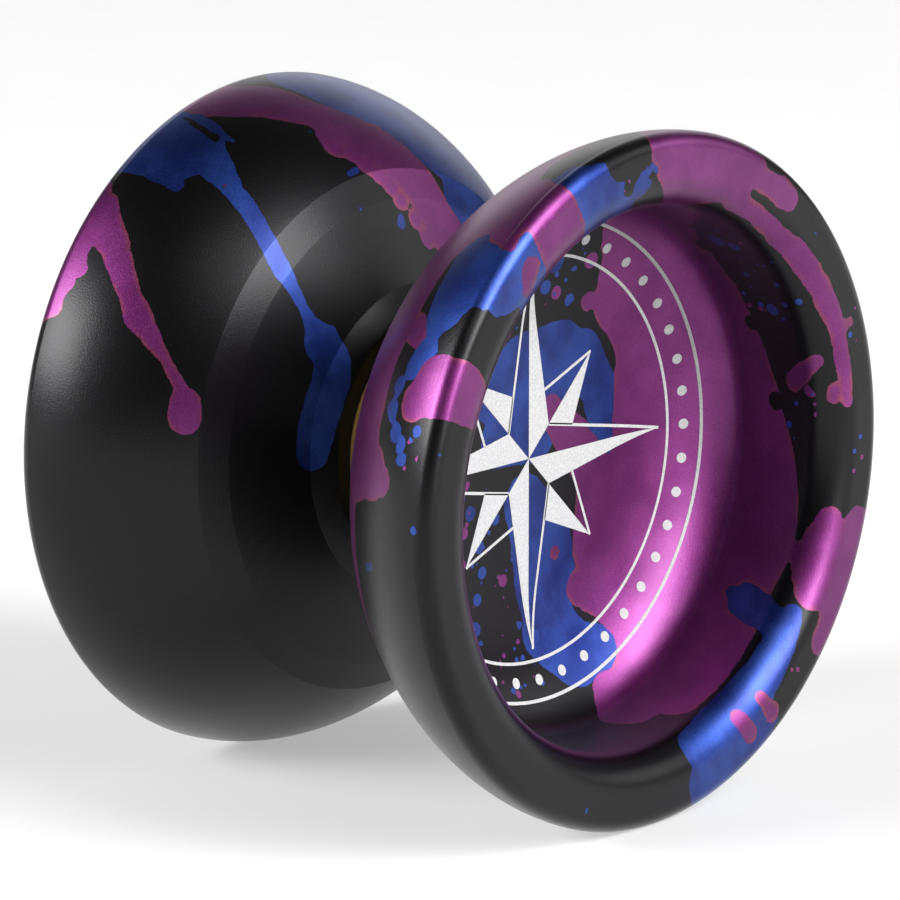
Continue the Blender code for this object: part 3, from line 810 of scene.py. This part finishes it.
shield_profile = loop([(shield_outer, SHIELD_BOTTOM, FINE_EDGE), (shield_outer, SHIELD_TOP, FINE_EDGE),
                       (shield_inner, SHIELD_TOP, FINE_EDGE), (shield_inner, SHIELD_BOTTOM, FINE_EDGE)],
                      RING_STEP)


def snap_ring(sign):
    """A wire carried along an arc that is open at the foot: a circle of radius WIRE round each point."""
    arc = np.linspace(WIRE_OPENING / 2, 2 * np.pi - WIRE_OPENING / 2, WIRE_POINTS) - np.pi / 2
    arc = np.concatenate([arc[:1], arc, arc[-1:]])[:, None]
    turn = 2 * np.pi * np.arange(WIRE_SIDES) / WIRE_SIDES
    wire = np.full((len(arc), 1), WIRE)
    wire[[0, -1]] = 0.0
    radius = WIRE_GROOVE - WIRE_PLAY - WIRE + wire * np.cos(turn)
    along = sign * ((WIRE_TOP + WIRE_BOTTOM) / 2 + wire * np.sin(turn))
    return grid(np.stack([along, radius * np.cos(arc), radius * np.sin(arc)], axis=-1), flip=sign > 0)


outer_ring = piece("grooved_outer_ring", turned(outer_profile, RING_SEGMENTS, closed_rows=True))
inner_ring = piece("ground_inner_ring", turned(inner_profile, RING_SEGMENTS, closed_rows=True))
shields = {}
for side, sign in SIDES.items():
    shield = turned(shield_profile, RING_SEGMENTS, sign, closed_rows=True)
    shields[side] = piece(f"pressed_shield_{side}", shield)
snaps = {side: piece(f"wire_snap_ring_{side}", snap_ring(sign)) for side, sign in SIDES.items()}
print("bearing:", round(2 * RING_OUTER / MM, 2), "mm outside,", round(2 * BALL / MM, 3), "mm balls")

# %% Balls
BALL_ROWS = 24
BALL_COLUMNS = 36
latitude = np.linspace(-np.pi / 2, np.pi / 2, BALL_ROWS + 1)
ball_profile = np.column_stack([BALL * np.cos(latitude), BALL * np.sin(latitude)])
ball_profile[[0, -1], 0] = 0.0


def ball(index):
    """A sphere on the pitch circle. The first ball lies at the foot of the bearing."""
    turn = 2 * np.pi * index / BALL_COUNT - np.pi / 2
    centre = np.array([0.0, PITCH * np.cos(turn), PITCH * np.sin(turn)])
    surface = grid(turned_points(ball_profile, BALL_COLUMNS, 1) + centre)
    return piece(f"polished_ball_{index + 1:02d}", surface)


balls = [ball(index) for index in range(BALL_COUNT)]
print(len(balls), "balls")

# %% [markdown]
# ## Axle
#
# A headless M4 screw clamps the halves on to the bearing. Its thread is one formula: the radius at a place
# depends on how far the place lies along the screw, less one pitch for each turn round it. The ends are
# chamfered, and one end has a hex socket.

# %% Threaded axle
AXLE_RADIUS = 2.0 * MM
AXLE_END = 3.98 * MM
THREAD_PITCH = 0.7 * MM
THREAD_DEPTH = 0.38 * MM
THREAD_STEEPNESS = 1.3
CREST_SHARE = 0.15
AXLE_CHAMFER = 0.4 * MM
HEX_ACROSS = 2.0 * MM
HEX_DEPTH = 2.0 * MM
AXLE_COLUMNS = 72
AXLE_STEP = 0.045 * MM


def threaded_screw():
    """Radius = crest less depth times a clipped triangle wave of (along / pitch - angle / turn)."""
    angle = 2 * np.pi * np.arange(AXLE_COLUMNS) / AXLE_COLUMNS
    along = np.linspace(-AXLE_END, AXLE_END, int(2 * AXLE_END / AXLE_STEP))[:, None]
    wave = np.abs(2 * ((along / THREAD_PITCH - angle / (2 * np.pi)) % 1.0) - 1)
    thread = AXLE_RADIUS - THREAD_DEPTH * np.clip(THREAD_STEEPNESS * wave - CREST_SHARE, 0.0, 1.0)
    radius = np.minimum(thread, AXLE_RADIUS - AXLE_CHAMFER + AXLE_END - np.abs(along))
    hexagon = HEX_ACROSS / 2 / np.cos((angle + np.pi / 6) % (np.pi / 3) - np.pi / 6)
    nothing = np.zeros((1, AXLE_COLUMNS))
    radius = np.concatenate([nothing, radius, hexagon[None], hexagon[None], nothing])
    bottom = AXLE_END - HEX_DEPTH
    along = np.concatenate([[[-AXLE_END]], along, [[AXLE_END], [bottom], [bottom]]])
    along = np.broadcast_to(along, radius.shape)
    return grid(np.stack([along, radius * np.cos(angle), radius * np.sin(angle)], axis=-1))


axle = piece("threaded_axle", threaded_screw())
print("axle:", len(axle.data.polygons), "faces,", round(2 * AXLE_END / THREAD_PITCH, 1), "turns of thread")

# %% [markdown]
# ## Finishes
#
# Each finish is a small network of shader nodes. A few helpers keep the networks short to read: they add a
# node, fill its sockets by name, do sums, blend two colours or make a smooth step. All patterns read the
# object's own coordinates, in metres, so a noise of scale 1000 has features of about a millimetre.

# %% Helpers for shader networks
def put(tree, socket, value):
    """Fills a socket with a plain value, or links another node's output to it."""
    if isinstance(value, bpy.types.NodeSocket):
        tree.links.new(value, socket)
    else:
        socket.default_value = value


def fill(tree, made, **sockets):
    """Fills the sockets of a node by name, with _ for a space."""
    for name, value in sockets.items():
        put(tree, made.inputs[name.replace("_", " ")], value)


def node(tree, kind, settings=None, **sockets):
    """A new shader node with its settings made and its sockets filled."""
    made = tree.nodes.new("ShaderNode" + kind)
    for name, value in (settings or {}).items():
        setattr(made, name, value)
    fill(tree, made, **sockets)
    return made


def sums(tree, operation, *values):
    """The output of a Math node."""
    made = node(tree, "Math", {"operation": operation})
    for socket, value in zip(made.inputs, values):
        put(tree, socket, value)
    return made.outputs[0]


def blend(tree, factor, a, b):
    """The colour that is a at factor 0 and b at factor 1."""
    made = node(tree, "Mix", {"data_type": "RGBA"})
    for index, value in ((0, factor), (6, a), (7, b)):
        put(tree, made.inputs[index], value)
    return made.outputs[2]


def ramp(tree, value, low, high, bottom=0.0, top=1.0):
    """A smooth step of a value, from bottom at low to top at high."""
    made = node(tree, "MapRange", {"interpolation_type": "SMOOTHSTEP"}, Value=value, From_Min=low,
                From_Max=high, To_Min=bottom, To_Max=top)
    return made.outputs[0]


def finish(name):
    """A new material: returns it, its node tree, its Principled shader and the object's coordinates."""
    material = bpy.data.materials.new(name)
    material.use_nodes = True
    tree = material.node_tree
    shader = tree.nodes["Principled BSDF"]
    place = node(tree, "TexCoord").outputs["Object"]
    return material, tree, shader, place


def noise(tree, place, scale, detail=2.0):
    """A noise from 0 to 1 whose features are about 1 / scale metres wide."""
    return node(tree, "TexNoise", Vector=place, Scale=scale, Detail=detail).outputs[0]


def bump(tree, shader, value, depth):
    """Tilts the surface as if the value were a height of that depth in metres."""
    tilt = node(tree, "Bump", Height=value, Strength=1.0, Distance=depth).outputs[0]
    fill(tree, shader, Normal=tilt, Coat_Normal=tilt)


# %% [markdown]
# ### Splash-anodised aluminium
#
# Anodising grows a hard clear layer on bead-blasted metal, and dye sinks into it. So the shader is a dyed
# metal with a broad, soft shine under a clear coat of its own. The edges of the splashes come from the
# distances on the grid, roughened a little. Purple dye bleeds to a thin red line at its edge.

# %% Anodised finish
PURPLE_DEEP = (0.142, 0.017, 0.124, 1.0)
PURPLE_LIGHT = (0.192, 0.029, 0.165, 1.0)
PURPLE_EDGE = (0.26, 0.055, 0.062, 1.0)
BLUE_DEEP = (0.0095, 0.026, 0.175, 1.0)
BLUE_LIGHT = (0.021, 0.058, 0.29, 1.0)
BLACK = (0.006, 0.006, 0.007, 1.0)
EDGE_WOBBLE = 0.22
WOBBLE_SCALE = 700.0
EDGE_RAGGED = 0.07
RAGGED_SCALE = 2600.0
EDGE_SOFT = 0.035
CLOUD_SCALE = 260.0
RED_WIDTH = 0.5
RED_STRENGTH = 0.65
RED_PATCH_SCALE = 380.0
SPECK_SCALES = (450.0, 1050.0)
SPECK_SIZES = (0.10, 0.36)
SPECK_SOFT = 0.04
BLUE_SPECKS = 0.62


def edge_wobble(tree, place):
    """Millimetres by which the edges wander: a wide noise plus a ragged one, both centred on none."""
    noises = ((WOBBLE_SCALE, EDGE_WOBBLE), (RAGGED_SCALE, EDGE_RAGGED))
    parts = [sums(tree, "MULTIPLY_ADD", noise(tree, place, scale), 2 * most, -most) for scale, most in noises]
    return sums(tree, "ADD", *parts)


def purple_dye(tree, place, cloud, in_purple):
    """Purple that clouds from deep to light and bleeds to red in patches along its edge."""
    dye = blend(tree, ramp(tree, cloud, 0.3, 0.7), PURPLE_DEEP, PURPLE_LIGHT)
    near_edge = ramp(tree, in_purple, 0.0, RED_WIDTH, 1.0, 0.0)
    patchy = ramp(tree, noise(tree, place, RED_PATCH_SCALE), 0.38, 0.62)
    red = sums(tree, "MULTIPLY", sums(tree, "MULTIPLY", near_edge, patchy), RED_STRENGTH)
    return blend(tree, red, dye, PURPLE_EDGE)


def specks(tree, place, scale, amount):
    """Round specks, one in some cells of a Voronoi pattern: a mask, and a number that picks the colour."""
    cells = node(tree, "TexVoronoi", Vector=place, Scale=scale)
    parts = node(tree, "SeparateColor", Color=cells.outputs["Color"])
    size = ramp(tree, parts.outputs[0], 0.0, 1.0, *SPECK_SIZES)
    near = sums(tree, "SUBTRACT", size, cells.outputs["Distance"])
    shown = sums(tree, "LESS_THAN", parts.outputs[1], amount)
    return sums(tree, "MULTIPLY", ramp(tree, near, 0.0, SPECK_SOFT), shown), parts.outputs[2]


def dye_colour(tree, place):
    """Black, then blue, specks and purple over it, by the three attributes of the grid."""
    fields = ("purple", "blue", "spatter")
    purple, blue, spatter = [node(tree, "Attribute", {"attribute_name": f}).outputs["Fac"] for f in fields]
    wobble = edge_wobble(tree, place)
    in_purple = sums(tree, "ADD", purple, wobble)
    in_blue = sums(tree, "SUBTRACT", blue, wobble)
    cloud = noise(tree, place, CLOUD_SCALE, 3.0)
    blue_dye = blend(tree, ramp(tree, cloud, 0.35, 0.65), BLUE_LIGHT, BLUE_DEEP)
    colour = blend(tree, ramp(tree, in_blue, -EDGE_SOFT, EDGE_SOFT), BLACK, blue_dye)
    for scale in SPECK_SCALES:
        mask, choice = specks(tree, place, scale, spatter)
        dye = blend(tree, sums(tree, "GREATER_THAN", choice, BLUE_SPECKS), BLUE_LIGHT, PURPLE_LIGHT)
        colour = blend(tree, mask, colour, dye)
    purple_mask = ramp(tree, in_purple, -EDGE_SOFT, EDGE_SOFT)
    return blend(tree, purple_mask, colour, purple_dye(tree, place, cloud, in_purple))


# %% Blasted metal under a clear layer
GRAIN_SCALE = 8000.0
SPARKLE = (0.82, 1.18)
DYED_ROUGHNESS = (0.40, 0.48)
BLAST_SCALE = 8500.0
BLAST_DEPTH = 0.013 * MM


def anodised():
    """Dyed metal whose colour and roughness vary with the grain of the blasting, and a clear layer on top."""
    material, tree, shader, place = finish("splash_anodised")
    grain = noise(tree, place, GRAIN_SCALE, 1.0)
    sparkle = ramp(tree, grain, 0.25, 0.75, *SPARKLE)
    shade = node(tree, "VectorMath", {"operation": "SCALE"}, Vector=dye_colour(tree, place), Scale=sparkle)
    fill(tree, shader, Base_Color=shade.outputs[0], Metallic=1.0,
         Roughness=ramp(tree, grain, 0.2, 0.8, *DYED_ROUGHNESS),
         Coat_Weight=0.82, Coat_Roughness=0.28, Coat_IOR=1.33)
    bump(tree, shader, noise(tree, place, BLAST_SCALE), BLAST_DEPTH)
    return material


# %% [markdown]
# ### Plainer finishes
#
# Bare metal left by the laser is pale and rough. Silicone is a waxy amber with a little light under its skin.
# Ground steel shows fine lines round the axis, so its pattern depends only on the distance from the axis and
# the place along it. Balls are polished with faint smears, and a black-oxide screw is mottled.

# %% Bare metal and silicone
MARK_DARK = (0.42, 0.42, 0.43, 1.0)
MARK_LIGHT = (0.54, 0.54, 0.54, 1.0)
MARK_GRAIN_SCALE = 6000.0
MARK_GRAIN_DEPTH = 0.008 * MM
AMBER_DEEP = (0.50, 0.30, 0.07, 1.0)
AMBER_LIGHT = (0.66, 0.44, 0.13, 1.0)
AMBER_GLOW = (1.2 * MM, 0.7 * MM, 0.3 * MM)
AMBER_MOTTLE_SCALE = 900.0
AMBER_SKIN_SCALE = 5000.0
AMBER_SKIN_DEPTH = 0.012 * MM


def laser_marked():
    """Pale rough metal with fine burnt grain."""
    material, tree, shader, place = finish("laser_marked_metal")
    grain = noise(tree, place, MARK_GRAIN_SCALE)
    colour = blend(tree, ramp(tree, grain, 0.25, 0.7), MARK_DARK, MARK_LIGHT)
    fill(tree, shader, Base_Color=colour, Roughness=ramp(tree, grain, 0.2, 0.8, 0.75, 0.6))
    bump(tree, shader, grain, MARK_GRAIN_DEPTH)
    return material


def silicone():
    """Amber silicone with a faint mottle and a soft skin."""
    material, tree, shader, place = finish("amber_silicone")
    mottle = noise(tree, place, AMBER_MOTTLE_SCALE, 3.0)
    colour = blend(tree, mottle, AMBER_DEEP, AMBER_LIGHT)
    fill(tree, shader, Base_Color=colour, Roughness=ramp(tree, mottle, 0.3, 0.7, 0.5, 0.66),
         Subsurface_Weight=0.3, Subsurface_Radius=AMBER_GLOW, Subsurface_Scale=1.0)
    bump(tree, shader, noise(tree, place, AMBER_SKIN_SCALE), AMBER_SKIN_DEPTH)
    return material


# %% Steels
LINE_DEPTH = 0.002 * MM
SMEAR_SCALE = 600.0
SMEAR = 0.16


def ground_steel(name, dark, light, rough, line_scale):
    """Steel with fine lines round the X axis: noise of (distance from the axis, place along it)."""
    material, tree, shader, place = finish(name)
    parts = node(tree, "SeparateXYZ", Vector=place)
    squares = [sums(tree, "MULTIPLY", parts.outputs[i], parts.outputs[i]) for i in (1, 2)]
    radius = sums(tree, "SQRT", sums(tree, "ADD", *squares))
    turned_place = node(tree, "CombineXYZ", X=radius, Y=parts.outputs[0]).outputs[0]
    lines = noise(tree, turned_place, line_scale, 3.0)
    smear = noise(tree, place, SMEAR_SCALE)
    rough_here = sums(tree, "MULTIPLY_ADD", smear, SMEAR, rough - SMEAR / 2)
    fill(tree, shader, Base_Color=blend(tree, lines, dark, light), Metallic=1.0, Roughness=rough_here)
    bump(tree, shader, lines, LINE_DEPTH)
    return material


def smeared_steel(name, dark, light, rough, scale, depth):
    """Steel with an even mottle: polished balls, a satin cage or a black-oxide screw."""
    material, tree, shader, place = finish(name)
    mottle = noise(tree, place, scale, 4.0)
    rough_here = ramp(tree, mottle, 0.3, 0.7, rough * 0.7, rough * 1.3)
    fill(tree, shader, Base_Color=blend(tree, mottle, dark, light), Metallic=1.0, Roughness=rough_here)
    bump(tree, shader, noise(tree, place, 12 * scale), depth)
    return material


ring_steel = ground_steel("ground_ring_steel", (0.42, 0.42, 0.44, 1.0), (0.62, 0.62, 0.63, 1.0),
                          rough=0.26, line_scale=22000.0)
shield_steel = ground_steel("pressed_shield_steel", (0.46, 0.46, 0.47, 1.0), (0.6, 0.6, 0.6, 1.0),
                            rough=0.34, line_scale=9000.0)
cage_steel = smeared_steel("satin_cage_steel", (0.4, 0.4, 0.4, 1.0), (0.58, 0.57, 0.55, 1.0),
                           rough=0.42, scale=1500.0, depth=0.004 * MM)
ball_steel = smeared_steel("polished_ball_steel", (0.62, 0.62, 0.64, 1.0), (0.74, 0.74, 0.75, 1.0),
                           rough=0.09, scale=800.0, depth=0.0002 * MM)
black_oxide = smeared_steel("black_oxide_steel", (0.02, 0.02, 0.022, 1.0), (0.06, 0.055, 0.05, 1.0),
                            rough=0.4, scale=1800.0, depth=0.004 * MM)
splash, mark, amber = anodised(), laser_marked(), silicone()
finishes = [splash, mark, amber, ring_steel, shield_steel, cage_steel, ball_steel, black_oxide]
print("finishes:", ", ".join(material.name for material in finishes))

# %% [markdown]
# ## Dress the bodies
#
# Each new piece gets its finish, rides on the body that carries it and stands for its node of the imported
# model. The table also gives a material slot name for each piece, which is not used.

# %% Finish, body, node and slot of every piece
dressed = [
    (axle, black_oxide, "spool", "axle", "axle_steel"),
    (inner_ring, ring_steel, "spool", "bearing_inner_ring", "ring_steel"),
    (outer_ring, ring_steel, "bearing_outer", "bearing_outer_ring", "ring_steel"),
]
for side in SIDES:
    dressed += [
        (halves[side], splash, "spool", f"half_{side}", "half_metal"),
        (markings[side], mark, "spool", None, "half_metal"),
        (pads[side], amber, "spool", f"response_pad_{side}", "pad_silicone"),
        (shields[side], shield_steel, "bearing_outer", f"bearing_shield_{side}", "shield_steel"),
        (snaps[side], ring_steel, "bearing_outer", f"bearing_snap_ring_{side}", "shield_steel"),
    ]
for i, made in enumerate(balls, 1):
    dressed.append((made, ball_steel, f"ball_{i:02d}", f"bearing_ball_{i:02d}", "ball_steel"))
for made, material, body, stands_for, slot in dressed:
    made.data.materials.append(material)
    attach(made, body)
    if stands_for:
        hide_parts(stands_for)
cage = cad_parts["bearing_cage"]
cage.data.materials.clear()
cage.data.materials.append(cage_steel)
print(len(dressed), "pieces dressed, and the cage of the packed model")

# %% [markdown]
# ## Studio
#
# A wide white floor and a few soft lamps. Dark anodising shows mostly what it reflects, so the place of each
# lamp matters more than its strength: one low on each side of the camera draws the long glows on the flanks,
# and the dark room between them keeps the black skin black. A lamp is given by two angles, its size and the
# brightness of its face.

# %% Floor
FLOOR_LEVEL = -RIM_RADIUS
FLOOR_REACH = 3.0
PAPER_DARK = (0.51, 0.51, 0.51, 1.0)
PAPER_LIGHT = (0.53, 0.53, 0.53, 1.0)
PAPER_SCALE = 90.0
PAPER_GLOW = 0.41


def flat_floor():
    """A plain square floor under the yo-yo, FLOOR_REACH to each side."""
    mesh = bpy.data.meshes.new("studio_floor")
    signs = [(-1, -1), (1, -1), (1, 1), (-1, 1)]
    corners = [(FLOOR_REACH * x, FLOOR_REACH * y, FLOOR_LEVEL) for x, y in signs]
    mesh.from_pydata(corners, [], [range(len(corners))])
    made = bpy.data.objects.new("studio_floor", mesh)
    bpy.context.scene.collection.objects.link(made)
    return made


def white_paper():
    """Matt pale paper that glows, but only for what is seen: directly, mirrored or through glass."""
    material, tree, shader, place = finish("studio_paper")
    colour = blend(tree, noise(tree, place, PAPER_SCALE), PAPER_DARK, PAPER_LIGHT)
    rays = node(tree, "LightPath").outputs
    seen = sums(tree, "MAXIMUM", rays["Is Camera Ray"], rays["Is Glossy Ray"])
    seen = sums(tree, "MAXIMUM", seen, rays["Is Transmission Ray"])
    glow = sums(tree, "MULTIPLY", seen, PAPER_GLOW)
    fill(tree, shader, Base_Color=colour, Roughness=0.9, Specular_IOR_Level=0.0,
         Emission_Color=(1.0, 1.0, 1.0, 1.0), Emission_Strength=glow)
    return material


studio_floor = flat_floor()
studio_floor.data.materials.append(white_paper())
studio_floor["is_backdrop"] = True

# %% Lamps
LAMP_DISTANCE = 1.2
LAMPS = [
    ("left_softbox", -71.0, 24.0, 0.74, 0.50, 16.5),
    ("right_softbox", 58.0, 27.0, 0.52, 0.92, 15.0),
    ("high_softbox", 42.0, 50.0, 0.90, 0.50, 2.0),
    ("side_softbox", 102.0, 20.0, 0.50, 0.50, 1.9),
    ("back_softbox", 180.0, 20.0, 1.16, 0.70, 0.9),
]
WORLD_LEVEL = 0.06
UPWARD = np.array([0.0, 0.0, 1.0])


def softbox(name, aside, above, width, tall, brightness):
    """A flat lamp that faces the yo-yo: its power is pi times its area times the brightness of its face.

    aside is the angle from the camera to its right, seen from above, and above is the angle over the floor.
    """
    turn, rise = np.radians(aside), np.radians(above)
    ahead = np.array([sin_a, -cos_a, 0.0])
    level = np.cos(turn) * ahead + np.sin(turn) * RIGHT
    way = np.cos(rise) * level + np.sin(rise) * UPWARD
    across = np.cross(UPWARD, way)
    across /= np.linalg.norm(across)
    lamp = bpy.data.lights.new(name, "AREA")
    lamp.shape = "RECTANGLE"
    lamp.size = width
    lamp.size_y = tall
    lamp.energy = np.pi * width * tall * brightness
    made = bpy.data.objects.new(name, lamp)
    bpy.context.scene.collection.objects.link(made)
    aim(made, LAMP_DISTANCE * way, across, np.cross(way, across), way)
    return made


lamps = [softbox(*lamp) for lamp in LAMPS]
world = bpy.data.worlds.new("studio")
world.use_nodes = True
background = world.node_tree.nodes["Background"]
fill(world.node_tree, background, Color=(1.0, 1.0, 1.0, 1.0), Strength=WORLD_LEVEL)
bpy.context.scene.world = world
bpy.context.scene.view_settings.view_transform = "Standard"
print(len(lamps), "lamps and a world of", WORLD_LEVEL)

# %% Size of the dressed model, and the end
dressed_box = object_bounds()
dressed_size = np.array(dressed_box[1]) - np.array(dressed_box[0])
print("dressed model:", np.round(dressed_size / MM, 2), "mm")
